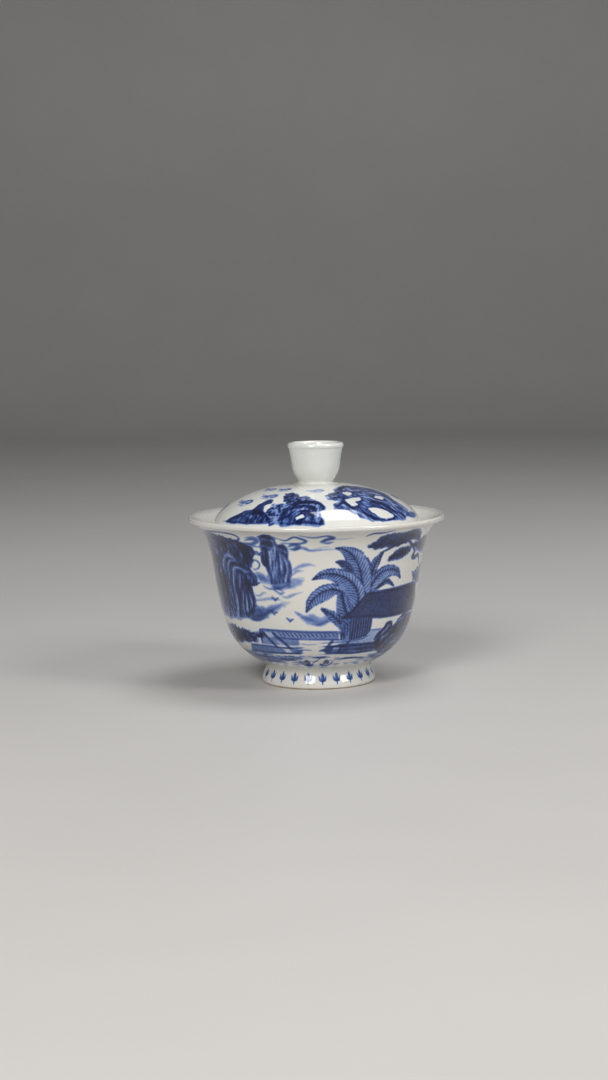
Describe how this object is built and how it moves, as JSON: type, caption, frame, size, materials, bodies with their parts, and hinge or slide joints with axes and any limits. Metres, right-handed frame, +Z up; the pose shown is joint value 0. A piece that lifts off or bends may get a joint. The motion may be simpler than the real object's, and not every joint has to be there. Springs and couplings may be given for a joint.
{
  "type": "gaiwan",
  "caption": "Lidded porcelain tea bowl with a flared cup on a foot ring and a domed lid with a cupped knob, painted in underglaze cobalt blue.",
  "frame": {"origin": "centre of the foot ring's contact face, on the surface that the gaiwan stands on", "axes": "+Z up along the turning axis; -Y is the side with the main painted scene"},
  "size_m": [0.1, 0.1, 0.0934],
  "materials": {
    "bowl_glaze": "gloss clear glaze over white porcelain painted in cobalt blue",
    "foot_glaze": "gloss clear glaze over white porcelain, bare on the contact face",
    "lid_glaze": "gloss clear glaze over white porcelain painted in cobalt blue",
    "knob_glaze": "gloss clear glaze over plain white porcelain"
  },
  "bodies": {
    "cup": {"bowl": "bowl_glaze", "foot_ring": "foot_glaze"},
    "lid": {"lid": "lid_glaze", "lid_knob": "knob_glaze"}
  },
  "joints": [
    {"name": "lid_lift", "type": "slide", "parent": "cup", "child": "lid", "axis": [0, 0, 1], "range_m": [0, 0.08]}
  ]
}
